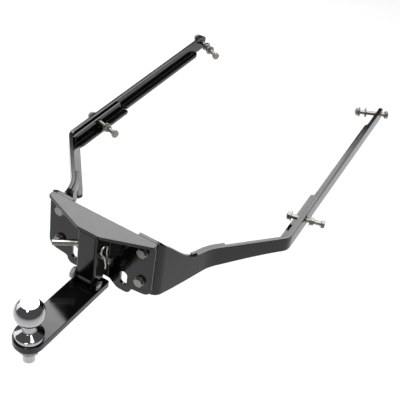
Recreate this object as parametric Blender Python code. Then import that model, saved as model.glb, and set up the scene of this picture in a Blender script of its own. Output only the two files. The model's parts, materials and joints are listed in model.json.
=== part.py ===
"""Frame-mounted ball hitch: bolted centre bracket, two bent arms, drawbar and trailer ball.

Frame: X across the vehicle, +Y from the ball towards the arm tips, +Z up.
The origin is the centre of the flat on top of the ball. All sizes below are in millimetres.
"""
import math

import bmesh
import bpy
from mathutils import Matrix, Vector

MM = 0.001
FIT = 0.3            # gap left between two pieces that touch
SIDES = (("right", 1), ("left", -1))

# ball
BALL_D = 47.6
BALL_FLAT_D = 28.0
NECK_D = 21.6
FLANGE_D = 46.0
FLANGE_T = 8.6
BALL_TO_SEAT = 50.1  # ball centre down to the underside of its flange
SHANK_D = 19.0
SHANK_BELOW_NUT = 21.5
LOCK_WASHER_T = 3.5
BALL_NUT_AF = 28.6
BALL_NUT_T = 14.0

# drawbar
TONGUE_W = 51.0
TONGUE_T = 12.0
TONGUE_REAR_Y = 168.0
RISER_D = 24.0
RISER_H = 88.0

# receiver channel
CHANNEL_W = 36.0
CHANNEL_WALL = 4.5
CHANNEL_FRONT_Y = 134.3
CHANNEL_H = 91.0
EAR_REACH = 9.5
PIN_D = 10.0
PIN_Z_BELOW_TOP = 43.0
PIN_Y_FROM_FRONT = 15.0
LOWER_BOLT_D = 10.0
LOWER_BOLT_Y_FROM_FRONT = 5.5
LOWER_BOLT_BELOW_CHANNEL = 5.7

# bracket plates
PLATE_T = 6.0
WING_W = 198.6
WING_FRONT_Y = 172.0
TOP_Z = 63.1         # top of the top plate above the ball's centre
TOP_FRONT_W = 38.6
TOP_TIP_Y = 167.2
WING_H = 103.0
SLOT_X = 47.5
SLOT_W = 13.0
SLOT_H = 27.0
SLOT_TOP_DROP = 77.5
LOBE_R = 15.0
BOLT_X = 78.0
BOLT_ROW_DROP = 17.2
BOLT_ROW_GAP = 61.0
BRACKET_BOLT_D = 10.0

# arms: plan of the outer face, then heights
ARM_T = 7.0
ARM_LEG_H = 28.0
ARM_TOP_Z = 1.9
ROOT_START_X = 62.0
ROOT_TOP_DROP = 1.0
ROOT_BOTTOM_Z = -46.0
ROOT_CORNER_X = 104.2
WAIST = (138.9, 281.5)
BEND = (228.5, 389.5)
TIP = (208.0, 828.0)
TIP_RISE = 28.0
FLANGE_W = 10.2
WAIST_FLANGE_W = 13.7
WAIST_FLANGE_BEFORE = 9.0
WAIST_FLANGE_SHORT_OF_BEND = 7.5
FLANGE_THICK = 6.0
FLANGE_SHORT_OF_TIP = 38.0
TIP_R = 11.0
GUSSET_L = 158.0
GUSSET_T = 5.0
GUSSET_BEFORE_BEND = 6.0
GUSSET_TOP_DROP = 5.0
GUSSET_HANG = 3.0
GUSSET_FOOT_W = 16.7
DOUBLER_T = 6.0
DOUBLER_BEFORE = 36.0
DOUBLER_AFTER = 24.0
DOUBLER_TOP_DROP = 2.0

# arm fasteners
ARM_BOLT_D = 8.0
ARM_HOLE_PLAY = 0.7
REAR_TILT = math.radians(13.8)
TIP_TILT = math.radians(27.0)
TIP_HOLE_FROM_END = 11.5
TIP_HOLE_ABOVE_MIDDLE = 2.0
REAR_HOLE_FROM_BEND = {"right": 71.0, "left": 78.0}

# places worked out from the sizes above
BALL_Z = -math.sqrt((BALL_D / 2) ** 2 - (BALL_FLAT_D / 2) ** 2)
SEAT_Z = BALL_Z - BALL_TO_SEAT
TONGUE_TOP = SEAT_Z - FIT
TONGUE_BOTTOM = TONGUE_TOP - TONGUE_T
PLATE_TOP = BALL_Z + TOP_Z
PLATE_UNDER = PLATE_TOP - PLATE_T
WING_TOP = PLATE_UNDER - FIT
WING_BOTTOM = WING_TOP - WING_H
WING_BACK_Y = WING_FRONT_Y + PLATE_T
CHANNEL_BOTTOM = WING_TOP - CHANNEL_H
PIN_Y = CHANNEL_FRONT_Y + PIN_Y_FROM_FRONT
PIN_Z = PLATE_UNDER - PIN_Z_BELOW_TOP
LOWER_BOLT_Y = CHANNEL_FRONT_Y + LOWER_BOLT_Y_FROM_FRONT
LOWER_BOLT_Z = CHANNEL_BOTTOM - LOWER_BOLT_BELOW_CHANNEL
BOLT_ROWS = (WING_TOP - BOLT_ROW_DROP, WING_TOP - BOLT_ROW_DROP - BOLT_ROW_GAP)
ARM_ROOT_Y = WING_BACK_Y + FIT
RISER_W = CHANNEL_W - 2 * CHANNEL_WALL - 2 * FIT

COLORS = {
    "black_paint": ((0.012, 0.012, 0.013, 1.0), 0.22, 0.0),
    "chrome": ((0.75, 0.75, 0.76, 1.0), 0.06, 1.0),
    "zinc": ((0.62, 0.61, 0.57, 1.0), 0.32, 1.0),
}


def clear_scene():
    for item in list(bpy.data.objects):
        bpy.data.objects.remove(item, do_unlink=True)


def material_for(node, finish):
    color, roughness, metallic = COLORS[finish]
    mat = bpy.data.materials.new(node + "_" + finish)
    mat.use_nodes = True
    shader = mat.node_tree.nodes["Principled BSDF"]
    shader.inputs["Base Color"].default_value = color
    shader.inputs["Roughness"].default_value = roughness
    shader.inputs["Metallic"].default_value = metallic
    mat.diffuse_color = color
    return mat


def add_object(node, bm, finish="black_paint", place=None):
    """Put a bmesh, built in millimetres, into the scene as one named object."""
    bmesh.ops.remove_doubles(bm, verts=bm.verts, dist=0.001)
    bmesh.ops.recalc_face_normals(bm, faces=bm.faces)
    bmesh.ops.scale(bm, vec=(MM, MM, MM), verts=bm.verts)
    mesh = bpy.data.meshes.new(node)
    bm.to_mesh(mesh)
    bm.free()
    obj = bpy.data.objects.new(node, mesh)
    bpy.context.scene.collection.objects.link(obj)
    if place is not None:
        obj.matrix_world = place
    obj.data.materials.append(material_for(node, finish))
    return obj


def place_at(x, y, z, turn=None):
    """A placing matrix from a point in millimetres and an optional turn."""
    spot = Matrix.Translation((x * MM, y * MM, z * MM))
    return spot @ turn if turn is not None else spot


def add_boolean(obj, cutter, operation):
    cutter.hide_render = True
    cutter.display_type = "WIRE"
    mod = obj.modifiers.new(operation.lower() + "_" + cutter.name, "BOOLEAN")
    mod.operation = operation
    mod.solver = "EXACT"
    mod.object = cutter


def rounded_outline(corners):
    """A closed outline from (x, y, radius) corners, each radius turned into an arc."""
    points = []
    count = len(corners)
    for i, (x, y, radius) in enumerate(corners):
        here = Vector((x, y))
        if radius <= 0:
            points.append(here)
            continue
        back = (Vector(corners[i - 1][:2]) - here).normalized()
        ahead = (Vector(corners[(i + 1) % count][:2]) - here).normalized()
        half = back.angle(ahead) / 2
        reach = radius / math.tan(half)
        centre = here + (back + ahead).normalized() * (radius / math.sin(half))
        start = here + back * reach - centre
        sweep = math.pi - 2 * half
        turn = 1 if back.x * ahead.y - back.y * ahead.x < 0 else -1
        steps = max(3, int(math.degrees(sweep) / 11))
        for k in range(steps + 1):
            angle = turn * sweep * k / steps
            points.append(centre + Matrix.Rotation(angle, 2) @ start)
    return points


def prism(outline, low, high, plane="xy"):
    """A flat outline pulled into a solid between two heights along the plane's normal."""
    def spot(p, h):
        return {"xy": (p.x, p.y, h), "xz": (p.x, h, p.y), "yz": (h, p.x, p.y)}[plane]
    bm = bmesh.new()
    face = bm.faces.new([bm.verts.new(spot(p, low)) for p in outline])
    grown = bmesh.ops.extrude_face_region(bm, geom=[face])
    moved = [v for v in grown["geom"] if isinstance(v, bmesh.types.BMVert)]
    shift = {"xy": (0, 0, high - low), "xz": (0, high - low, 0), "yz": (high - low, 0, 0)}[plane]
    bmesh.ops.translate(bm, vec=shift, verts=moved)
    return bm


def lathe(profile, steps=28):
    """Spin (radius, height) points round Z; the profile runs from the axis to the axis."""
    bm = bmesh.new()
    verts = [bm.verts.new((r, 0, z)) for r, z in profile]
    edges = [bm.edges.new(pair) for pair in zip(verts, verts[1:])]
    bmesh.ops.spin(bm, geom=verts + edges, cent=(0, 0, 0), axis=(0, 0, 1),
                   angle=2 * math.pi, steps=steps, use_merge=True)
    bmesh.ops.remove_doubles(bm, verts=bm.verts, dist=0.001)
    return bm


def ring(inner_d, outer_d, low, high, steps=28):
    """A plain ring round Z."""
    bm = bmesh.new()
    corners = ((inner_d / 2, low), (outer_d / 2, low), (outer_d / 2, high), (inner_d / 2, high))
    verts = [bm.verts.new((r, 0, z)) for r, z in corners]
    edges = [bm.edges.new((verts[i], verts[(i + 1) % 4])) for i in range(4)]
    bmesh.ops.spin(bm, geom=verts + edges, cent=(0, 0, 0), axis=(0, 0, 1),
                   angle=2 * math.pi, steps=steps, use_merge=True)
    return bm


def cylinder(diameter, low, high, sides=28):
    bm = bmesh.new()
    bmesh.ops.create_cone(bm, cap_ends=True, segments=sides, radius1=diameter / 2,
                          radius2=diameter / 2, depth=high - low)
    bmesh.ops.translate(bm, vec=(0, 0, (low + high) / 2), verts=bm.verts)
    return bm


def hexagon_loop(bm, across_flats, z):
    radius = across_flats / math.sqrt(3)
    spots = [(radius * math.cos(math.radians(a)), radius * math.sin(math.radians(a)), z)
             for a in range(0, 360, 60)]
    return [bm.verts.new(spot) for spot in spots]


def hex_solid(across_flats, low, high):
    bm = bmesh.new()
    loops = [hexagon_loop(bm, across_flats, z) for z in (low, high)]
    for i in range(6):
        j = (i + 1) % 6
        bm.faces.new((loops[0][i], loops[0][j], loops[1][j], loops[1][i]))
    bm.faces.new(list(reversed(loops[0])))
    bm.faces.new(loops[1])
    return bm


def hex_chamfer(across_flats, low, high):
    """The turned blank whose overlap with a hexagon gives it its rounded corners."""
    corner = across_flats / math.sqrt(3)
    flat = across_flats / 2 * 0.96
    ease = (corner - flat) * 0.55
    return lathe([(0, low), (flat, low), (corner + 0.2, low + ease), (corner + 0.2, high - ease),
                  (flat, high), (0, high)])


def add_bolt(node, shank_d, across_flats, head_h, length, collar_d, collar_t, finish, place):
    """A hexagon bolt along Z: its collar's seat is at 0, its shank runs down to -length."""
    obj = add_object(node, hex_solid(across_flats, collar_t - 0.4, collar_t + head_h + 1), finish, place)
    blank = add_object(node + "_blank", hex_chamfer(across_flats, collar_t - 3, collar_t + head_h),
                       finish, place)
    add_boolean(obj, blank, "INTERSECT")
    tip = shank_d * 0.12
    body = lathe([(0, -length), (shank_d / 2 - tip, -length), (shank_d / 2, -length + tip),
                  (shank_d / 2, 0), (collar_d / 2, 0), (collar_d / 2, collar_t), (0, collar_t)])
    add_boolean(obj, add_object(node + "_shank", body, finish, place), "UNION")
    return obj


def add_nut(node, bore_d, across_flats, height, collar_d, collar_t, finish, place):
    """A hexagon nut along Z, seated at 0, with its collar at the seat."""
    obj = add_object(node, hex_solid(across_flats, collar_t - 0.4, height + 1), finish, place)
    blank = add_object(node + "_blank", hex_chamfer(across_flats, collar_t - 3, height), finish, place)
    add_boolean(obj, blank, "INTERSECT")
    collar = add_object(node + "_collar", cylinder(collar_d, 0, collar_t), finish, place)
    add_boolean(obj, collar, "UNION")
    bore = add_object(node + "_bore", cylinder(bore_d, -2, height + 2), finish, place)
    add_boolean(obj, bore, "DIFFERENCE")
    return obj


def drill(obj, name, diameter, centre, along, reach):
    """Cut a round hole through obj at centre, along a direction, reach each way."""
    turn = Vector((0, 0, 1)).rotation_difference(Vector(along)).to_matrix().to_4x4()
    cutter = add_object(name, cylinder(diameter, -reach, reach), "zinc", place_at(*centre, turn))
    add_boolean(obj, cutter, "DIFFERENCE")


# ---------------------------------------------------------------- ball and its fasteners

def add_ball():
    r = BALL_D / 2
    start = math.asin(BALL_FLAT_D / 2 / r)
    end = math.pi - math.asin(NECK_D / 2 / r)
    steps = 18
    profile = [(0, BALL_Z + r * math.cos(start))]
    for i in range(steps + 1):
        angle = start + (end - start) * i / steps
        profile.append((r * math.sin(angle), BALL_Z + r * math.cos(angle)))
    flange_top = SEAT_Z + FLANGE_T
    shank_end = TONGUE_BOTTOM - 2 * FIT - LOCK_WASHER_T - BALL_NUT_T - SHANK_BELOW_NUT
    profile += [(NECK_D / 2, flange_top + 8.0), (NECK_D / 2 + 1.2, flange_top + 5.5),
                (FLANGE_D / 2 - 1.5, flange_top), (FLANGE_D / 2, flange_top - 1.5),
                (FLANGE_D / 2, SEAT_Z + 1.0), (FLANGE_D / 2 - 1.0, SEAT_Z), (SHANK_D / 2, SEAT_Z),
                (SHANK_D / 2, shank_end + 1.5), (SHANK_D / 2 - 1.5, shank_end), (0, shank_end)]
    add_object("trailer_ball", lathe(profile, 44), "chrome")


def add_ball_fasteners():
    washer_top = TONGUE_BOTTOM - FIT
    bm = ring(SHANK_D + 2 * FIT, SHANK_D + 13.0, washer_top - LOCK_WASHER_T, washer_top)
    washer = add_object("ball_lock_washer", bm, "zinc")
    split = prism(rounded_outline([(8, -1, 0), (20, -1.6, 0), (20, 0, 0), (8, 0.6, 0)]),
                  washer_top - LOCK_WASHER_T - 1, washer_top + 1)
    add_boolean(washer, add_object("ball_lock_washer_split", split), "DIFFERENCE")
    seat = washer_top - LOCK_WASHER_T - FIT
    turn = Matrix.Rotation(math.pi, 4, "X")
    add_nut("ball_nut", SHANK_D + 2 * FIT, BALL_NUT_AF, BALL_NUT_T, BALL_NUT_AF * 0.98, 1.0,
            "zinc", place_at(0, 0, seat, turn))


# ---------------------------------------------------------------- drawbar

def add_drawbar():
    r = TONGUE_W / 2
    nose = [math.pi + math.pi * i / 20 for i in range(21)]
    corners = [(r * math.cos(a), r * math.sin(a), 0) for a in nose]
    corners += [(r, TONGUE_REAR_Y, 3), (-r, TONGUE_REAR_Y, 3)]
    tongue = add_object("drawbar_tongue", prism(rounded_outline(corners), TONGUE_BOTTOM, TONGUE_TOP))
    bevel = tongue.modifiers.new("eased_edges", "BEVEL")
    bevel.width = 0.8 * MM
    bevel.segments = 2
    bevel.limit_method = "ANGLE"
    drill(tongue, "tongue_ball_hole", SHANK_D + 2 * FIT, (0, 0, TONGUE_TOP - TONGUE_T / 2), (0, 0, 1), 20)
    front = CHANNEL_FRONT_Y + CHANNEL_WALL + FIT
    half = RISER_W / 2
    corners = [(-half, front, 2), (half, front, 2), (half, front + RISER_D, 2), (-half, front + RISER_D, 2)]
    foot = TONGUE_TOP + FIT
    riser = add_object("drawbar_riser", prism(rounded_outline(corners), foot, foot + RISER_H))
    drill(riser, "riser_pin_hole", PIN_D + 2 * FIT, (0, PIN_Y, PIN_Z), (1, 0, 0), 40)
    drill(riser, "riser_bolt_hole", LOWER_BOLT_D + 2 * FIT, (0, LOWER_BOLT_Y, LOWER_BOLT_Z), (1, 0, 0), 40)


# ---------------------------------------------------------------- centre bracket

def add_top_plate():
    half, front, back = WING_W / 2, CHANNEL_FRONT_Y, WING_BACK_Y
    corners = [(-TOP_FRONT_W / 2, front, 14), (TOP_FRONT_W / 2, front, 14), (half, TOP_TIP_Y, 4),
               (half, back, 4), (-half, back, 4), (-half, TOP_TIP_Y, 4)]
    plate = add_object("top_plate", prism(rounded_outline(corners), PLATE_UNDER, PLATE_TOP))
    bevel = plate.modifiers.new("eased_edges", "BEVEL")
    bevel.width = 0.8 * MM
    bevel.segments = 2
    bevel.limit_method = "ANGLE"


def wing_outline():
    """Half outlines of the wing plate, right side down to the middle, then its mirror image."""
    half = WING_W / 2
    lobe_z = WING_BOTTOM + LOBE_R - 15.0
    right = [(half, WING_TOP, 2), (half, WING_BOTTOM + 2, 16), (SLOT_X + LOBE_R, WING_BOTTOM - 2.5, 5),
             (SLOT_X + LOBE_R * 0.9, lobe_z - LOBE_R, 11), (SLOT_X - LOBE_R * 0.7, lobe_z - LOBE_R, 12),
             (SLOT_X - LOBE_R * 1.75, WING_BOTTOM - 3.0, 6)]
    left = [(-x, z, r) for x, z, r in reversed(right)]
    return rounded_outline(left + right)


def add_wing_plate():
    wing = add_object("wing_plate", prism(wing_outline(), WING_FRONT_Y, WING_BACK_Y, "xz"))
    for side, sign in SIDES:
        top = WING_TOP - SLOT_TOP_DROP
        half = SLOT_W / 2
        left, right = sign * SLOT_X - half, sign * SLOT_X + half
        corners = [(left, top - SLOT_H, half - 0.01), (right, top - SLOT_H, half - 0.01),
                   (right, top, half - 0.01), (left, top, half - 0.01)]
        slot = prism(rounded_outline(corners), WING_FRONT_Y - 2, WING_BACK_Y + 2, "xz")
        add_boolean(wing, add_object(side + "_chain_slot", slot), "DIFFERENCE")
        for row, z in enumerate(BOLT_ROWS):
            drill(wing, "%s_wing_hole_%d" % (side, row), BRACKET_BOLT_D + 2 * FIT,
                  (sign * BOLT_X, WING_FRONT_Y, z), (0, 1, 0), 20)


def add_channel():
    half, wall = CHANNEL_W / 2, CHANNEL_WALL
    front, back = CHANNEL_FRONT_Y, WING_FRONT_Y - FIT
    outline = rounded_outline([(-half, front, 4), (half, front, 4), (half, back, 0), (half - wall, back, 0),
                               (half - wall, front + wall, 0.8), (-half + wall, front + wall, 0.8),
                               (-half + wall, back, 0), (-half, back, 0)])
    channel = add_object("receiver_channel", prism(outline, CHANNEL_BOTTOM, WING_TOP))
    nose, low = LOWER_BOLT_Y - EAR_REACH, LOWER_BOLT_Z - EAR_REACH + 0.6
    ear = rounded_outline([(nose, CHANNEL_BOTTOM + 3, 4), (nose, low, 8), (front + 24, low, 8),
                           (front + 28, CHANNEL_BOTTOM + 14, 0), (front + 1, CHANNEL_BOTTOM + 14, 0)])
    for side, sign in SIDES:
        span = sorted((sign * (half - wall + 0.4), sign * (half - 0.4)))
        plate = prism(ear, span[0], span[1], "yz")
        add_boolean(channel, add_object(side + "_channel_ear", plate), "UNION")
    drill(channel, "channel_pin_hole", PIN_D + 2 * FIT, (0, PIN_Y, PIN_Z), (1, 0, 0), 40)
    drill(channel, "channel_bolt_hole", LOWER_BOLT_D + 2 * FIT, (0, LOWER_BOLT_Y, LOWER_BOLT_Z),
          (1, 0, 0), 40)


def add_bracket_bolts():
    head_turn = Matrix.Rotation(math.pi / 2, 4, "X")
    nut_turn = Matrix.Rotation(-math.pi / 2, 4, "X")
    seat, nut_seat = WING_FRONT_Y - FIT, ARM_ROOT_Y + ARM_T + FIT
    length = nut_seat - seat + 12.0
    for side, sign in SIDES:
        for row, z in zip(("upper", "lower"), BOLT_ROWS):
            name = "%s_%s_bracket" % (side, row)
            add_bolt(name + "_bolt", BRACKET_BOLT_D, 15.0, 5.0, length, 18.0, 1.6, "zinc",
                     place_at(sign * BOLT_X, seat, z, head_turn))
            add_nut(name + "_nut", BRACKET_BOLT_D + 2 * FIT, 15.0, 9.0, 20.0, 1.6, "zinc",
                    place_at(sign * BOLT_X, nut_seat, z, nut_turn))


def add_lower_bolt():
    seat = CHANNEL_W / 2 + FIT
    add_bolt("lower_cross_bolt", LOWER_BOLT_D, 18.0, 7.4, 2 * seat + 7.0, 20.0, 1.6, "zinc",
             place_at(-seat, LOWER_BOLT_Y, LOWER_BOLT_Z, Matrix.Rotation(-math.pi / 2, 4, "Y")))
    add_nut("lower_cross_nut", LOWER_BOLT_D + 2 * FIT, 16.0, 6.4, 16.0, 0.8, "black_paint",
            place_at(seat, LOWER_BOLT_Y, LOWER_BOLT_Z, Matrix.Rotation(math.pi / 2, 4, "Y")))


# ---------------------------------------------------------------- hitch pin and its clip

PIN_RIGHT = CHANNEL_W / 2 + 19.0
PIN_LEFT = CHANNEL_W / 2 + 7.0
PIN_BEND_R = 12.0
PIN_BEND = math.radians(38)
PIN_HANDLE = 34.0
CLIP_WIRE = 2.6
CLIP_X = CHANNEL_W / 2 + 12.0
CLIP_TILT = math.radians(16)
CLIP_LOOP_R = 8.0


def add_wire(node, points, diameter, finish, sides):
    """A rod or wire along points in millimetres, closed at both ends."""
    curve = bpy.data.curves.new(node, "CURVE")
    curve.dimensions = "3D"
    curve.bevel_depth = diameter / 2 * MM
    curve.bevel_resolution = sides
    curve.use_fill_caps = True
    spline = curve.splines.new("POLY")
    spline.points.add(len(points) - 1)
    for slot, p in zip(spline.points, points):
        slot.co = (p[0] * MM, p[1] * MM, p[2] * MM, 1.0)
    obj = bpy.data.objects.new(node, curve)
    bpy.context.scene.collection.objects.link(obj)
    obj.data.materials.append(material_for(node, finish))
    return obj


def pin_path():
    """The pin lies along X on its own axis, then its handle bends towards -Y."""
    points = [(PIN_RIGHT, 0, 0), (PIN_RIGHT - 1, 0, 0), (0, 0, 0), (-PIN_LEFT, 0, 0)]
    for i in range(1, 9):
        a = PIN_BEND * i / 8
        points.append((-PIN_LEFT - PIN_BEND_R * math.sin(a), -PIN_BEND_R * (1 - math.cos(a)), 0))
    x, y, z = points[-1]
    points.append((x - PIN_HANDLE * math.cos(PIN_BEND), y - PIN_HANDLE * math.sin(PIN_BEND), z))
    return points


def clip_path():
    """Hairpin in its own (u, v) plane: straight leg on u = 0, bowed leg outside the pin."""
    reach = PIN_D / 2 + CLIP_WIRE / 2 + 0.6
    loop_v = 24.0
    points = [(0, -14.0), (0, 0), (0, loop_v - 6.0)]
    centre = (-CLIP_LOOP_R * 0.45, loop_v + 3.0)
    for i in range(0, 13):
        a = math.radians(-20 + 235 * i / 12)
        points.append((centre[0] + CLIP_LOOP_R * math.cos(a), centre[1] + CLIP_LOOP_R * math.sin(a)))
    points += [(-reach - 0.5, 13.0), (-reach, 8.0), (-reach, 0), (-reach, -8.0), (-reach - 2.5, -15.0)]
    return points


def add_pin_and_clip():
    pin = add_wire("hitch_pin", pin_path(), PIN_D, "zinc", 4)
    pin.location = (0, PIN_Y * MM, PIN_Z * MM)
    turn = Matrix.Rotation(CLIP_TILT, 4, "X")
    cutter = add_object("hitch_pin_clip_hole", cylinder(CLIP_WIRE + 2 * FIT, -12, 12, 16), "zinc",
                        place_at(CLIP_X, PIN_Y, PIN_Z, turn))
    add_boolean_to_curve(pin, cutter)
    clip = add_wire("pin_clip", [(0, u, v) for u, v in clip_path()], CLIP_WIRE, "zinc", 2)
    clip.matrix_world = place_at(CLIP_X, PIN_Y, PIN_Z, turn)


def add_boolean_to_curve(obj, cutter):
    """A curve takes its hole once it is a mesh, so the rod is made a mesh first."""
    graph = bpy.context.evaluated_depsgraph_get()
    mesh = bpy.data.meshes.new_from_object(obj.evaluated_get(graph))
    name, place = obj.name, obj.matrix_world.copy()
    place.translation = obj.location
    material = obj.data.materials[0]
    bpy.data.objects.remove(obj, do_unlink=True)
    solid = bpy.data.objects.new(name, mesh)
    bpy.context.scene.collection.objects.link(solid)
    solid.matrix_world = place
    if not mesh.materials:
        mesh.materials.append(material)
    add_boolean(solid, cutter, "DIFFERENCE")


# ---------------------------------------------------------------- arms

def arm_plan():
    """Corners of the outer face in plan, each with the radius of its bend."""
    start = (ROOT_START_X, ARM_ROOT_Y)
    return [start + (0,), (ROOT_CORNER_X, ARM_ROOT_Y, 18.0), WAIST + (70.0,), BEND + (24.0,), TIP + (0,)]


def walk_plan():
    """Stations along the outer face: point, inward normal, and distance from the start."""
    plan = arm_plan()
    spots = [Vector(plan[0][:2])]
    for i in range(1, len(plan) - 1):
        x, y, radius = plan[i]
        here = Vector((x, y))
        back = (Vector(plan[i - 1][:2]) - here).normalized()
        ahead = (Vector(plan[i + 1][:2]) - here).normalized()
        half = back.angle(ahead) / 2
        reach = radius / math.tan(half)
        centre = here + (back + ahead).normalized() * (radius / math.sin(half))
        start = here + back * reach - centre
        sweep = math.pi - 2 * half
        turn = 1 if back.x * ahead.y - back.y * ahead.x < 0 else -1
        steps = max(3, round(math.degrees(sweep) / 8))
        for k in range(steps + 1):
            spots.append(centre + Matrix.Rotation(turn * sweep * k / steps, 2) @ start)
    spots.append(Vector(plan[-1][:2]))
    return spots


def resample(spots, gap):
    """Extra spots on the long straight runs, so that heights can change along them."""
    full = [spots[0]]
    for a, b in zip(spots, spots[1:]):
        count = max(1, int((b - a).length / gap))
        full += [a.lerp(b, k / count) for k in range(1, count + 1)]
    return full


def normals_along(spots):
    normals = []
    for i in range(len(spots)):
        a = spots[max(i - 1, 0)]
        b = spots[min(i + 1, len(spots) - 1)]
        run = (b - a).normalized()
        normals.append(Vector((-run.y, run.x)))
    return normals


def distances(spots):
    total = [0.0]
    for a, b in zip(spots, spots[1:]):
        total.append(total[-1] + (b - a).length)
    return total


def smooth(t):
    t = min(max(t, 0.0), 1.0)
    return t * t * (3 - 2 * t)


def nearest_distance(spots, dist, target):
    return min(zip(spots, dist), key=lambda pair: (pair[0] - Vector(target)).length)[1]


class ArmLine:
    """The arm's outer face in plan, with the heights of its leg along it."""

    def __init__(self):
        self.spots = resample(walk_plan(), 9.0)
        self.normals = normals_along(self.spots)
        self.dist = distances(self.spots)
        self.total = self.dist[-1]
        self.waist_s = nearest_distance(self.spots, self.dist, WAIST)
        self.bend_s = nearest_distance(self.spots, self.dist, BEND)
        self.root_s = ROOT_CORNER_X - ROOT_START_X

    def rise(self, s):
        return TIP_RISE * max(0.0, s - self.bend_s) / (self.total - self.bend_s)

    def top(self, s):
        high = PLATE_TOP - ROOT_TOP_DROP
        low = BALL_Z + ARM_TOP_Z
        return high + (low - high) * smooth((s - self.root_s + 12.0) / 92.0) + self.rise(s)

    def bottom(self, s):
        leg = BALL_Z + ARM_TOP_Z - ARM_LEG_H
        root = BALL_Z + ROOT_BOTTOM_Z
        return root + (leg - root) * smooth((s - self.root_s) / (self.bend_s - self.root_s)) + self.rise(s)

    def at(self, s):
        """Point, inward normal and heading at a distance along the outer face."""
        for i in range(len(self.dist) - 1):
            if s <= self.dist[i + 1] or i == len(self.dist) - 2:
                t = (s - self.dist[i]) / (self.dist[i + 1] - self.dist[i])
                point = self.spots[i].lerp(self.spots[i + 1], t)
                run = (self.spots[i + 1] - self.spots[i]).normalized()
                return point, Vector((-run.y, run.x)), run

    def strip(self, start, end, inner, thick, low, high):
        """A solid strip that follows the arm: inner is its offset from the outer face."""
        marks = [start] + [s for s in self.dist if start + 0.5 < s < end - 0.5] + [end]
        bm = bmesh.new()
        loops = []
        for s in marks:
            point, normal = self.point_normal(s)
            a = point + normal * inner
            b = point + normal * (inner + thick)
            corners = ((a, low(s)), (b, low(s)), (b, high(s)), (a, high(s)))
            loops.append([bm.verts.new((p.x, p.y, z)) for p, z in corners])
        for one, two in zip(loops, loops[1:]):
            for i in range(4):
                j = (i + 1) % 4
                bm.faces.new((one[i], one[j], two[j], two[i]))
        bm.faces.new(loops[0])
        bm.faces.new(list(reversed(loops[-1])))
        return bm

    def point_normal(self, s):
        for i, d in enumerate(self.dist):
            if abs(d - s) < 1e-6:
                return self.spots[i], self.normals[i]
        point, normal, run = self.at(s)
        return point, normal


def rounded_tip(line, edge, sign):
    """The edge height with the arm's tip rounded off; sign is 1 for the top, -1 below."""
    def height(s):
        short = max(0.0, TIP_R - (line.total - s))
        return edge(s) - sign * (TIP_R - math.sqrt(max(TIP_R ** 2 - short ** 2, 0.0)))
    return height


def mirrored(bm, sign):
    if sign < 0:
        bmesh.ops.scale(bm, vec=(-1, 1, 1), verts=bm.verts)
        bmesh.ops.reverse_faces(bm, faces=bm.faces)
    return bm


def bolt_frame(line, side, where):
    """Centre of an arm bolt in the leg's wall and its direction, which points to +X."""
    sign = dict(SIDES)[side]
    rear = where == "rear"
    s = line.bend_s + REAR_HOLE_FROM_BEND[side] if rear else line.total - TIP_HOLE_FROM_END
    point, normal, run = line.at(s)
    centre = point + normal * (ARM_T / 2)
    z = (line.top(s) + line.bottom(s)) / 2 + (0.0 if rear else TIP_HOLE_ABOVE_MIDDLE)
    out = Vector((run.y, -run.x))
    out.rotate(Matrix.Rotation(REAR_TILT if rear else TIP_TILT, 2))
    spot = Vector((sign * centre.x, centre.y, z))
    return spot, Vector((out.x, sign * out.y, 0.0)).normalized()


def add_arms(line):
    hole_d = ARM_BOLT_D + ARM_HOLE_PLAY
    for side, sign in SIDES:
        arm = add_object(side + "_arm", mirrored(arm_bar(line), sign))
        for row, z in enumerate(BOLT_ROWS):
            drill(arm, "%s_root_hole_%d" % (side, row), BRACKET_BOLT_D + 2 * FIT,
                  (sign * BOLT_X, ARM_ROOT_Y, z), (0, 1, 0), 20)
        for where in ("rear", "tip"):
            spot, along = bolt_frame(line, side, where)
            drill(arm, "%s_%s_hole" % (side, where), hole_d, spot, along, 14)
        add_gusset(line, side, sign, hole_d)
        add_doubler(line, side, sign)


def angle_bar(line, marks, inner, wall, foot_w, foot_t, low, high):
    """An L section swept along the arm; its foot widens and narrows as foot_w says."""
    bm = bmesh.new()
    loops = []
    last = None
    for s in sorted(marks):
        if last is not None and s - last < 0.05:
            continue
        last = s
        point, normal = line.point_normal(s)
        a = point + normal * inner
        b = a + normal * wall
        c = b + normal * foot_w(s)
        step = low(s) + foot_t
        corners = ((a, low(s)), (c, low(s)), (c, step), (b, step), (b, high(s)), (a, high(s)))
        loops.append([bm.verts.new((p.x, p.y, z)) for p, z in corners])
    for one, two in zip(loops, loops[1:]):
        for i in range(6):
            j = (i + 1) % 6
            bm.faces.new((one[i], one[j], two[j], two[i]))
    for loop in (loops[0], list(reversed(loops[-1]))):
        bm.faces.new((loop[0], loop[3], loop[4], loop[5]))
        bm.faces.new((loop[0], loop[1], loop[2], loop[3]))
    bmesh.ops.remove_doubles(bm, verts=bm.verts, dist=0.001)
    return bm


def rounded_end(full, start, grow_over, end, radius):
    """A width that grows from nothing after start and rounds off to nothing at end."""
    def width(s):
        if s <= start or s >= end:
            return 0.0
        grow = full * smooth((s - start) / grow_over)
        short = max(0.0, radius - (end - s))
        cut = radius - math.sqrt(max(radius ** 2 - short ** 2, 0.0))
        return max(grow - cut * full / radius, 0.0)
    return width


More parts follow.
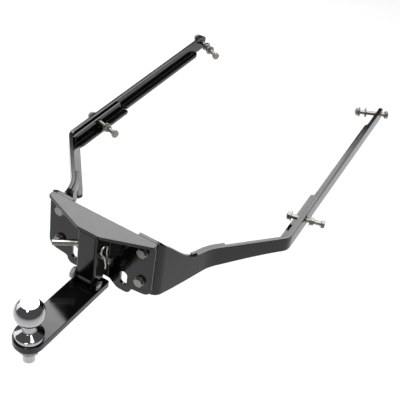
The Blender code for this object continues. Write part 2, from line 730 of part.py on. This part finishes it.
def arm_bar(line):
    top = rounded_tip(line, line.top, 1)
    bottom = rounded_tip(line, line.bottom, -1)
    near = (line.waist_s - WAIST_FLANGE_BEFORE, line.bend_s - WAIST_FLANGE_SHORT_OF_BEND)
    far = (line.bend_s - GUSSET_BEFORE_BEND + GUSSET_L + FIT, line.total - FLANGE_SHORT_OF_TIP)
    near_width = rounded_end(WAIST_FLANGE_W, near[0], 9.0, near[1], 4.0)
    far_width = rounded_end(FLANGE_W, far[0], 3.0, far[1], 12.0)
    def width(s):
        return near_width(s) + far_width(s)
    marks = line.dist + [near[0], near[0] + 3.0, near[0] + 6.0, far[0], far[0] + 1.5, far[0] + 3.0]
    for end, radius in ((near[1], 4.0), (far[1], 12.0)):
        marks += [end - radius * (1 - math.sin(math.radians(a))) for a in (0, 30, 50, 65, 80, 90)]
    marks += [line.total - TIP_R * (1 - math.sin(math.radians(a))) for a in (0, 20, 40, 55, 70, 80)]
    return angle_bar(line, marks, 0.0, ARM_T, width, FLANGE_THICK, bottom, top)


def add_gusset(line, side, sign, hole_d):
    """An angle inside the bend: its leg backs the arm and its foot takes the flange's place."""
    start = line.bend_s - GUSSET_BEFORE_BEND
    end = start + GUSSET_L
    def foot(s):
        return line.bottom(s) - GUSSET_HANG
    def head(s):
        tall = line.top(s) - GUSSET_TOP_DROP
        return tall + (foot(s) + GUSSET_T + 1.0 - tall) * smooth((s - end + 14.0) / 6.0)
    def width(s):
        short = max(0.0, 4.0 - (end - s))
        full = (GUSSET_FOOT_W - GUSSET_T) * (0.82 + 0.18 * smooth((s - start - 12.0) / 12.0))
        return full - 0.9 * (4.0 - math.sqrt(max(16.0 - short ** 2, 0.0)))
    marks = [start, end] + [s for s in line.dist if start < s < end]
    marks += [end - d for d in (14.0, 12.0, 10.0, 8.0, 6.0, 4.0, 2.5, 1.2, 0.4)]
    bar = angle_bar(line, marks, ARM_T + FIT, GUSSET_T, width, GUSSET_T, foot, head)
    gusset = add_object(side + "_bend_gusset", mirrored(bar, sign))
    spot, along = bolt_frame(line, side, "rear")
    drill(gusset, side + "_gusset_hole", hole_d, spot, along, 24)


def add_doubler(line, side, sign):
    start = line.waist_s - DOUBLER_BEFORE
    end = line.waist_s + DOUBLER_AFTER
    def low(s):
        return line.bottom(s) + FLANGE_THICK + FIT
    def high(s):
        return line.top(s) - DOUBLER_TOP_DROP
    plate = line.strip(start, end, ARM_T + FIT, DOUBLER_T, low, high)
    add_object(side + "_arm_doubler", mirrored(plate, sign))


# ---------------------------------------------------------------- arm fasteners

# along each bolt from the middle of the arm's wall, towards +X: seats of its nuts and of its head
ARM_BOLTS = (
    ("right", "rear", (-22.3, 9.0, 29.0), "nut"),
    ("left", "rear", (-10.2, 30.5, 53.0), "nut"),
    ("right", "tip", (-38.5, -27.0, 10.6), "washer"),
    ("left", "tip", (-12.0, 20.5, 58.5), "nut and washer"),
)
TIP_WASHER_AT = 37.5
ARM_AF = 13.0
ARM_NUT_H = 7.5
ARM_COLLAR_D = 18.0
ARM_COLLAR_T = 1.6
ARM_HEAD_H = 5.5


def add_arm_bolts(line):
    for side, where, (nut_at, middle_at, head_at), middle in ARM_BOLTS:
        spot, along = bolt_frame(line, side, where)
        turn = Vector((0, 0, 1)).rotation_difference(along).to_matrix().to_4x4()
        def frame(at):
            p = spot + along * at
            return place_at(p.x, p.y, p.z, turn)
        name = "%s_%s_arm" % (side, where)
        length = head_at - nut_at + ARM_NUT_H + 1.5
        add_bolt(name + "_bolt", ARM_BOLT_D, ARM_AF, ARM_HEAD_H, length, ARM_AF * 0.98, 0.8, "zinc",
                 frame(head_at))
        bore = ARM_BOLT_D + 2 * FIT
        flip = Matrix.Rotation(math.pi, 4, "X")
        add_nut(name + "_end_nut", bore, ARM_AF, ARM_NUT_H, ARM_COLLAR_D, ARM_COLLAR_T, "zinc",
                frame(nut_at) @ flip)
        if middle != "washer":
            add_nut(name + "_collar_nut", bore, ARM_AF, ARM_NUT_H, ARM_COLLAR_D, ARM_COLLAR_T, "zinc",
                    frame(middle_at))
        if "washer" in middle:
            at = middle_at if middle == "washer" else TIP_WASHER_AT
            add_object(name + "_washer", ring(bore, ARM_COLLAR_D, -1.0, 1.0), "zinc", frame(at))


def build():
    clear_scene()
    add_ball()
    add_ball_fasteners()
    add_drawbar()
    add_top_plate()
    add_wing_plate()
    add_channel()
    add_bracket_bolts()
    add_lower_bolt()
    add_pin_and_clip()
    line = ArmLine()
    add_arms(line)
    add_arm_bolts(line)


build()
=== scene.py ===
import json
import math

import bmesh
import bpy
from mathutils import Matrix, Vector


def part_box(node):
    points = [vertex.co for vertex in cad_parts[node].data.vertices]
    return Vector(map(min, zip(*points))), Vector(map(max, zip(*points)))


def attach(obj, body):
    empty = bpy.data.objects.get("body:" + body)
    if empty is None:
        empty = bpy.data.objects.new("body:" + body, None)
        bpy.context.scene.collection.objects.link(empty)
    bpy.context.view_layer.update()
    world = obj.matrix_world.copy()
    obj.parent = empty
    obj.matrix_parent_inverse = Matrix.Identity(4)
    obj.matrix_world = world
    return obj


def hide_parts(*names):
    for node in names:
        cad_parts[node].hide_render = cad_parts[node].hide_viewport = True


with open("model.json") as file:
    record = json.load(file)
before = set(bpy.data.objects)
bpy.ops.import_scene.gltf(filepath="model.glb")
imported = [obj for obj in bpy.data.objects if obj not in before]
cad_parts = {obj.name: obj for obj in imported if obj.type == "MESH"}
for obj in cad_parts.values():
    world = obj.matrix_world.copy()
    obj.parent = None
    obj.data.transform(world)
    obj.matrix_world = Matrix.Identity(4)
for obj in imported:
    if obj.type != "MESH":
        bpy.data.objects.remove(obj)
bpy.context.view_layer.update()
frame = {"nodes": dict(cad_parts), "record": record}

MM = 0.001
RECORD = frame["record"]
JOINTS = {joint["name"]: joint for joint in RECORD["behaviour"]["joints"]}
BODY_OF = {node: body
           for body, nodes in RECORD["behaviour"]["bodies"].items() for node in nodes}
SLOT_OF = {part["node"]: part["material_slot"] for part in RECORD["subparts"]}


# ---------------------------------------------------------------- materials

def linear(code):
    """An sRGB hex colour as linear RGBA."""
    def channel(v):
        return v / 12.92 if v <= 0.04045 else ((v + 0.055) / 1.055) ** 2.4
    return tuple(channel(int(code[i:i + 2], 16) / 255) for i in (0, 2, 4)) + (1.0,)


class Mat:
    """A node material that is built up one node at a time."""

    def __init__(self, name):
        self.mat = bpy.data.materials.new(name)
        self.mat.use_nodes = True
        self.tree = self.mat.node_tree
        self.shader = self.tree.nodes["Principled BSDF"]

    def add(self, kind, settings=(), **inputs):
        """Add a node with its settings; an input is a value, or (node, output) for a link."""
        made = self.tree.nodes.new(kind)
        for key, value in settings:
            setattr(made, key, value)
        self.fill(made, inputs)
        return made

    def fill(self, made, inputs):
        for key, value in inputs.items():
            socket = made.inputs[key.replace("_", " ")]
            if isinstance(value, tuple) and isinstance(value[0], bpy.types.Node):
                self.tree.links.new(value[0].outputs[value[1]], socket)
            else:
                socket.default_value = value


def per_mm(size_mm):
    """The noise scale, in object coordinates, whose blotches are about size_mm across."""
    return 1000 / size_mm


def gloss_black_coat():
    """Black powder coat over steel: deep black, a faint orange peel and a slightly uneven gloss."""
    m = Mat("gloss_black_powder_coat")
    place = m.add("ShaderNodeTexCoord")
    cloud = m.add("ShaderNodeTexNoise", Vector=(place, "Object"), Scale=per_mm(38), Detail=3.0)
    peel = m.add("ShaderNodeTexNoise", Vector=(place, "Object"), Scale=per_mm(2.6), Detail=2.0)
    tint = m.add("ShaderNodeMix", [("data_type", "RGBA")], Factor=(cloud, "Fac"))
    tint.inputs[6].default_value = linear("070707")
    tint.inputs[7].default_value = linear("0d0d0d")
    gloss = m.add("ShaderNodeMapRange", Value=(cloud, "Fac"), From_Min=0.35, From_Max=0.65,
                  To_Min=0.09, To_Max=0.16)
    rough = m.add("ShaderNodeBump", Height=(peel, "Fac"), Distance=0.03 * MM, Strength=0.25)
    m.tree.links.new(tint.outputs[2], m.shader.inputs["Base Color"])
    m.fill(m.shader, {"Roughness": (gloss, "Result"), "Normal": (rough, "Normal"), "IOR": 1.46})
    return m.mat


def coat_over_weld():
    """The same coat over a weld bead: rougher and a touch greyer where it lies thin."""
    m = Mat("powder_coat_over_weld")
    place = m.add("ShaderNodeTexCoord")
    grain = m.add("ShaderNodeTexNoise", Vector=(place, "Object"), Scale=per_mm(1.4), Detail=3.0)
    tint = m.add("ShaderNodeMix", [("data_type", "RGBA")], Factor=(grain, "Fac"))
    tint.inputs[6].default_value = linear("0b0b0c")
    tint.inputs[7].default_value = linear("1a1a1b")
    rough = m.add("ShaderNodeBump", Height=(grain, "Fac"), Distance=0.12 * MM, Strength=0.5)
    m.tree.links.new(tint.outputs[2], m.shader.inputs["Base Color"])
    m.fill(m.shader, {"Roughness": 0.36, "Normal": (rough, "Normal"), "IOR": 1.46})
    return m.mat


def bright_zinc():
    """Bright zinc plating on fasteners: warm grey, mottled, with fine turning marks."""
    m = Mat("bright_zinc_plate")
    place = m.add("ShaderNodeTexCoord")
    mottle = m.add("ShaderNodeTexNoise", Vector=(place, "Object"), Scale=per_mm(3.2), Detail=3.0)
    fine = m.add("ShaderNodeTexNoise", Vector=(place, "Object"), Scale=per_mm(0.5), Detail=2.0)
    tint = m.add("ShaderNodeMix", [("data_type", "RGBA")], Factor=(mottle, "Fac"))
    tint.inputs[6].default_value = linear("7f7d77")
    tint.inputs[7].default_value = linear("a9a79f")
    gloss = m.add("ShaderNodeMapRange", Value=(mottle, "Fac"), From_Min=0.35, From_Max=0.65,
                  To_Min=0.36, To_Max=0.5)
    rough = m.add("ShaderNodeBump", Height=(fine, "Fac"), Distance=0.02 * MM, Strength=0.4)
    m.tree.links.new(tint.outputs[2], m.shader.inputs["Base Color"])
    m.fill(m.shader, {"Roughness": (gloss, "Result"), "Normal": (rough, "Normal"), "Metallic": 1.0})
    return m.mat


def drawn_zinc():
    """Drawn rod under zinc: long fine lines along X and a slightly yellow cast."""
    m = Mat("drawn_zinc_rod")
    place = m.add("ShaderNodeTexCoord")
    along = m.add("ShaderNodeMapping", Vector=(place, "Object"), Scale=(0.04, 1.0, 1.0))
    lines = m.add("ShaderNodeTexNoise", Vector=(along, "Vector"), Scale=per_mm(0.7), Detail=2.0)
    tint = m.add("ShaderNodeMix", [("data_type", "RGBA")], Factor=(lines, "Fac"))
    tint.inputs[6].default_value = linear("94918a")
    tint.inputs[7].default_value = linear("c6c4bb")
    rough = m.add("ShaderNodeBump", Height=(lines, "Fac"), Distance=0.02 * MM, Strength=0.5)
    m.tree.links.new(tint.outputs[2], m.shader.inputs["Base Color"])
    m.fill(m.shader, {"Roughness": 0.28, "Normal": (rough, "Normal"), "Metallic": 1.0})
    return m.mat


def ball_chrome():
    """Polished chrome: a near mirror with the faintest waviness from buffing."""
    m = Mat("polished_chrome")
    place = m.add("ShaderNodeTexCoord")
    buffed = m.add("ShaderNodeTexNoise", Vector=(place, "Object"), Scale=per_mm(14), Detail=1.0)
    haze = m.add("ShaderNodeMapRange", Value=(buffed, "Fac"), From_Min=0.35, From_Max=0.65,
                 To_Min=0.03, To_Max=0.07)
    rough = m.add("ShaderNodeBump", Height=(buffed, "Fac"), Distance=0.02 * MM, Strength=0.2)
    m.fill(m.shader, {"Base_Color": linear("b9b9bc"), "Roughness": (haze, "Result"),
                      "Normal": (rough, "Normal"), "Metallic": 1.0})
    return m.mat


def studio_white():
    """Seamless studio paper: white, with a trace of fibre."""
    m = Mat("studio_paper")
    place = m.add("ShaderNodeTexCoord")
    fibre = m.add("ShaderNodeTexNoise", Vector=(place, "Object"), Scale=per_mm(120), Detail=2.0)
    tint = m.add("ShaderNodeMix", [("data_type", "RGBA")], Factor=(fibre, "Fac"))
    tint.inputs[6].default_value = linear("f2f2f2")
    tint.inputs[7].default_value = linear("f4f4f4")
    m.tree.links.new(tint.outputs[2], m.shader.inputs["Base Color"])
    m.fill(m.shader, {"Roughness": 0.9})
    return m.mat


def rolled_thread():
    """Zinc on a rolled thread: the same plating, darker where oil and grime lie in the grooves."""
    m = Mat("zinc_on_rolled_thread")
    place = m.add("ShaderNodeTexCoord")
    grime = m.add("ShaderNodeTexNoise", Vector=(place, "Object"), Scale=per_mm(2.0), Detail=3.0)
    tint = m.add("ShaderNodeMix", [("data_type", "RGBA")], Factor=(grime, "Fac"))
    tint.inputs[6].default_value = linear("6f6d66")
    tint.inputs[7].default_value = linear("b4b2a8")
    m.tree.links.new(tint.outputs[2], m.shader.inputs["Base Color"])
    m.fill(m.shader, {"Roughness": 0.34, "Metallic": 1.0})
    return m.mat


MATERIALS = {
    "thread": rolled_thread(),
    "black_paint": gloss_black_coat(),
    "zinc_plate": bright_zinc(),
    "chrome_ball": ball_chrome(),
    "weld": coat_over_weld(),
    "rod": drawn_zinc(),
}


# ---------------------------------------------------------------- pieces

EDGE_SHADING_DEG = 38          # edges sharper than this keep a crease
FLAT_FACE_WEIGHT = 90


def finish_piece(name, bm, body, material, replaced=(), smooth_below=EDGE_SHADING_DEG):
    """Turn a finished bmesh in metres into one piece that rides on its body."""
    bmesh.ops.remove_doubles(bm, verts=bm.verts, dist=1e-6)
    bmesh.ops.recalc_face_normals(bm, faces=bm.faces)
    mesh = bpy.data.meshes.new(name)
    for face in bm.faces:
        face.smooth = True
    for edge in bm.edges:
        if len(edge.link_faces) == 2 and edge.calc_face_angle(0) > math.radians(smooth_below):
            edge.smooth = False
    bm.to_mesh(mesh)
    bm.free()
    obj = bpy.data.objects.new(name, mesh)
    bpy.context.scene.collection.objects.link(obj)
    obj.data.materials.append(MATERIALS[material])
    even = obj.modifiers.new("flat_faces_stay_flat", "WEIGHTED_NORMAL")
    even.keep_sharp = True
    even.weight = FLAT_FACE_WEIGHT
    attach(obj, body)
    if replaced:
        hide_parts(*replaced)
    return obj


def eased_copy(node, width_mm, material=None, segments=2, sharp=32):
    """The node's solid with its sharp edges rounded off, as paint and plating leave them."""
    bm = bmesh.new()
    bm.from_mesh(frame["nodes"][node].data)
    bmesh.ops.remove_doubles(bm, verts=bm.verts, dist=2e-6)
    bmesh.ops.dissolve_limit(bm, angle_limit=math.radians(0.6), verts=bm.verts, edges=bm.edges)
    edges = [e for e in bm.edges
             if len(e.link_faces) == 2 and e.calc_face_angle(0) > math.radians(sharp)]
    bmesh.ops.bevel(bm, geom=edges, offset=width_mm * MM, offset_type="OFFSET", segments=segments,
                    profile=0.5, affect="EDGES", clamp_overlap=False, material=-1)
    slot = SLOT_OF[node]
    return finish_piece(node + "_finished", bm, BODY_OF[node], material or slot, (node,))


# Flame-cut and folded steel is rounded by its coat; machined fasteners hardly at all.
EASE_MM = {"right_arm": 0.9, "left_arm": 0.9, "wing_plate": 0.8, "receiver_channel": 0.6,
           "right_bend_gusset": 0.7, "left_bend_gusset": 0.7, "right_arm_doubler": 0.6,
           "left_arm_doubler": 0.6, "drawbar_riser": 0.6, "drawbar_tongue": 0.25, "top_plate": 0.25}

FASTENER_EASE_MM = 0.2
ROD_EASE_MM = 0.1

for node in frame["nodes"]:
    if node in EASE_MM:
        eased_copy(node, EASE_MM[node])
    elif node in ("hitch_pin", "pin_clip"):
        eased_copy(node, ROD_EASE_MM, "rod", segments=1, sharp=60)
    elif node == "trailer_ball":
        eased_copy(node, FASTENER_EASE_MM, segments=1, sharp=60)
    else:
        eased_copy(node, FASTENER_EASE_MM, segments=1, sharp=40)


# ---------------------------------------------------------------- threads

def axis_frame(point, axis):
    """A frame whose Z runs along the axis, with its origin at the point."""
    turn = Vector((0, 0, 1)).rotation_difference(Vector(axis).normalized())
    return Matrix.Translation(Vector(point)) @ turn.to_matrix().to_4x4()


def shank_span(node, place, radius_mm):
    """How far the node's shank reaches along the frame's Z, in mm."""
    inverse = place.inverted()
    spots = [inverse @ v.co for v in frame["nodes"][node].data.vertices]
    heights = [p.z / MM for p in spots if (p.x ** 2 + p.y ** 2) ** 0.5 < (radius_mm + 0.05) * MM]
    return min(heights), max(heights)


RIDGE_PROUD_MM = 0.16
RIDGE_ROOT_MM = 0.25
STEPS_PER_TURN = 14


def thread_ridge(name, node, place, low, high, radius_mm, pitch_mm):
    """A rolled thread's ridge, wound round the shank from low to high, all in mm."""
    turns = (high - low) / pitch_mm
    bm = bmesh.new()
    half = pitch_mm * 0.36
    root = radius_mm - RIDGE_ROOT_MM
    corners = [(root, -half), (radius_mm + RIDGE_PROUD_MM, 0.0), (root, half)]
    ring = [bm.verts.new((r, 0, low + z)) for r, z in corners]
    edges = [bm.edges.new((ring[i], ring[(i + 1) % 3])) for i in range(3)]
    bmesh.ops.spin(bm, geom=ring + edges, cent=(0, 0, 0), axis=(0, 0, 1),
                   dvec=(0, 0, pitch_mm / STEPS_PER_TURN), angle=2 * math.pi * turns,
                   steps=max(3, round(turns * STEPS_PER_TURN)), use_merge=False)
    bmesh.ops.holes_fill(bm, edges=bm.edges, sides=3)
    bmesh.ops.scale(bm, vec=(MM, MM, MM), verts=bm.verts)
    bmesh.ops.transform(bm, matrix=place, verts=bm.verts)
    return finish_piece(name, bm, BODY_OF[node], "thread", (), 75)


ARM_BOLT_R = 4.0
ARM_BOLT_PITCH = 1.5
ARM_BOLT_ENDS = 1.2            # left plain at the tip and under the head
BRACKET_BOLT_R = 5.0
BRACKET_BOLT_PITCH = 1.6
BRACKET_THREAD = (1.4, 15.0)   # from the bolt's tip
SHANK_R = 9.5
SHANK_PITCH = 2.1
SHANK_THREAD = (2.2, 38.0)     # from the shank's foot


def arm_bolt_threads():
    for key in ("right_rear", "left_rear", "right_tip", "left_tip"):
        spin = JOINTS[key + "_arm_end_nut_spin"]
        bolt = key + "_arm_bolt"
        place = axis_frame(spin["pos_m"], spin["axis"])
        low, high = shank_span(bolt, place, ARM_BOLT_R)
        thread_ridge(key + "_bolt_thread", bolt, place, low + ARM_BOLT_ENDS,
                     high - ARM_BOLT_ENDS, ARM_BOLT_R, ARM_BOLT_PITCH)


def bracket_bolt_threads():
    for node in frame["nodes"]:
        if node.endswith("_bracket_bolt"):
            lowest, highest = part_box(node)
            middle = (Vector(lowest) + Vector(highest)) / 2
            place = axis_frame((middle.x, highest[1], middle.z), (0, -1, 0))
            thread_ridge(node + "_thread", node, place, *BRACKET_THREAD,
                         BRACKET_BOLT_R, BRACKET_BOLT_PITCH)


def ball_shank_thread():
    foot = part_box("trailer_ball")[0][2]
    thread_ridge("ball_shank_thread", "trailer_ball", axis_frame((0, 0, foot), (0, 0, 1)),
                 *SHANK_THREAD, SHANK_R, SHANK_PITCH)


arm_bolt_threads()
bracket_bolt_threads()
ball_shank_thread()


# ---------------------------------------------------------------- weld beads

RIPPLE_MM = 2.1
STEPS_PER_RIPPLE = 4
RIPPLE_DEPTH = 0.10            # share of the bead's radius
END_SIZE = 0.4                 # the bead's share of its full size where it starts and stops
END_STEPS = 5


def weld_bead(name, start_mm, end_mm, radius_mm):
    """A bead laid in one pass along a straight seam, with a ripple where each drop froze."""
    start, end = Vector(start_mm), Vector(end_mm)
    along = end - start
    total = round(along.length / RIPPLE_MM) * STEPS_PER_RIPPLE
    step = along.length / total
    bm = bmesh.new()
    made = bmesh.ops.create_circle(bm, segments=10, radius=1.0, cap_ends=False)
    rim = list(bm.edges)
    verts = made["verts"]
    size = END_SIZE
    bmesh.ops.scale(bm, vec=(size, size, 1), verts=verts)
    for i in range(1, total + 1):
        grown = bmesh.ops.extrude_edge_only(bm, edges=rim)["geom"]
        verts = [g for g in grown if isinstance(g, bmesh.types.BMVert)]
        rim = [g for g in grown
               if isinstance(g, bmesh.types.BMEdge) and all(v in verts for v in g.verts)]
        near_end = min(i, total - i)
        wave = 1.0 + RIPPLE_DEPTH * math.cos(2 * math.pi * i / STEPS_PER_RIPPLE)
        wanted = wave * (END_SIZE + (1 - END_SIZE) * min(1.0, near_end / END_STEPS))
        grow = wanted / size
        size = wanted
        bmesh.ops.scale(bm, vec=(grow, grow, 1), verts=verts)
        bmesh.ops.translate(bm, vec=(0, 0, step / radius_mm), verts=verts)
    bmesh.ops.holes_fill(bm, edges=bm.edges, sides=12)
    bmesh.ops.scale(bm, vec=(radius_mm * MM,) * 3, verts=bm.verts)
    bmesh.ops.transform(bm, matrix=axis_frame(start * MM, along), verts=bm.verts)
    return finish_piece(name, bm, "hitch_frame", "weld", (), 60)


CHANNEL_BEAD_R = 2.2
PLATE_BEAD_R = 1.9
RISER_BEAD_R = 2.0


def seam_welds():
    """Beads along the channel's sides, under the top plate and down the riser's foot."""
    wing_low, wing_high = (Vector(c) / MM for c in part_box("wing_plate"))
    box_low, box_high = (Vector(c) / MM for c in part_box("receiver_channel"))
    riser_low, riser_high = (Vector(c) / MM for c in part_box("drawbar_riser"))
    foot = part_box("drawbar_tongue")[1][2] / MM
    front, back, top = wing_low.y, wing_low.y + 6, wing_high.z
    for side, x in (("right", box_high.x), ("left", box_low.x)):
        weld_bead(side + "_channel_weld", (x, front, wing_low.z + 14), (x, front, top - 4),
                  CHANNEL_BEAD_R)
        weld_bead(side + "_plate_weld", (x * 1.3, front, top), (x * 4.6, front, top),
                  PLATE_BEAD_R)
        weld_bead(side + "_plate_rear_weld", (x * 1.3, back, top), (x * 3.0, back, top),
                  PLATE_BEAD_R)
    for side, x in (("right", riser_high.x), ("left", riser_low.x)):
        weld_bead(side + "_riser_weld", (x, riser_low.y + 2, foot), (x, riser_high.y - 2, foot),
                  RISER_BEAD_R)


seam_welds()


# ---------------------------------------------------------------- studio

def area_light(name, at, look, size, power, size_y=None):
    light = bpy.data.lights.new(name, "AREA")
    light.shape = "RECTANGLE"
    light.size = size
    light.size_y = size_y or size
    light.energy = power
    obj = bpy.data.objects.new(name, light)
    bpy.context.scene.collection.objects.link(obj)
    obj.location = at
    obj.rotation_euler = (Vector(look) - Vector(at)).to_track_quat("-Z", "Y").to_euler()
    return obj


def direction(azimuth, elevation):
    a, e = math.radians(azimuth), math.radians(elevation)
    return Vector((math.sin(a) * math.cos(e), -math.cos(a) * math.cos(e), math.sin(e)))


def make_floor():
    bm = bmesh.new()
    bmesh.ops.create_grid(bm, x_segments=2, y_segments=2, size=9.0)
    bmesh.ops.translate(bm, vec=(0, 0.3, -0.85), verts=bm.verts)
    mesh = bpy.data.meshes.new("studio_floor")
    bm.to_mesh(mesh)
    bm.free()
    floor = bpy.data.objects.new("studio_floor", mesh)
    bpy.context.scene.collection.objects.link(floor)
    floor.data.materials.append(studio_white())


def make_world():
    """A pale backdrop to look at, and a dim room for the metal and the gloss to mirror."""
    world = bpy.data.worlds.new("studio")
    world.use_nodes = True
    back = world.node_tree.nodes["Background"]
    back.inputs["Color"].default_value = linear("fdfdfe")
    back.inputs["Strength"].default_value = 0.12
    backdrop = world.node_tree.nodes.new("ShaderNodeBackground")
    backdrop.inputs["Color"].default_value = linear("eeeeef")
    ray = world.node_tree.nodes.new("ShaderNodeLightPath")
    mix = world.node_tree.nodes.new("ShaderNodeMixShader")
    links = world.node_tree.links
    links.new(ray.outputs["Is Camera Ray"], mix.inputs[0])
    links.new(back.outputs["Background"], mix.inputs[1])
    links.new(backdrop.outputs["Background"], mix.inputs[2])
    links.new(mix.outputs["Shader"], world.node_tree.nodes["World Output"].inputs["Surface"])
    bpy.context.scene.world = world


def make_camera():
    """The camera stands to the right of the ball, looks down at the bracket and leans a little."""
    away = direction(27.27, 38.29)
    right = Vector((0, 0, 1)).cross(away).normalized()
    up = away.cross(right)
    lean = math.radians(7.94)
    across = right * math.cos(lean) + up * math.sin(lean)
    upward = up * math.cos(lean) - right * math.sin(lean)
    camera = bpy.data.cameras.new("camera")
    camera.lens = 84.03
    camera.sensor_width = 36.0
    camera.shift_x = 0.0495
    camera.shift_y = -0.0288
    camera.clip_start = 0.05
    obj = bpy.data.objects.new("camera", camera)
    bpy.context.scene.collection.objects.link(obj)
    place = Matrix((across, upward, away)).transposed().to_4x4()
    place.translation = Vector((0.03346, 0.35069, 0.01022)) + away * 1.5601
    obj.matrix_world = place
    bpy.context.scene.camera = obj


make_world()
make_floor()
make_camera()
CENTRE = Vector((0, 0.35, 0))
area_light("back_softbox", CENTRE + direction(-143, 51) * 3.2, CENTRE, 2.3, 42.0, 1.75)
area_light("top_softbox", Vector((0.4, 0.0, 5.2)), Vector((0.3, 1.2, -0.8)), 5.0, 245.0, 3.0)
area_light("far_floor", Vector((-0.6, 2.6, 2.4)), Vector((-0.6, 2.6, -0.85)), 2.6, 40.0, 1.6)
area_light("left_fill", CENTRE + direction(-75, 12) * 2.8, CENTRE, 1.6, 12.0, 1.6)
area_light("front_window", CENTRE + direction(12, 44) * 2.4, CENTRE, 0.42, 6.0, 0.3)
bpy.context.scene.view_settings.view_transform = "Standard"
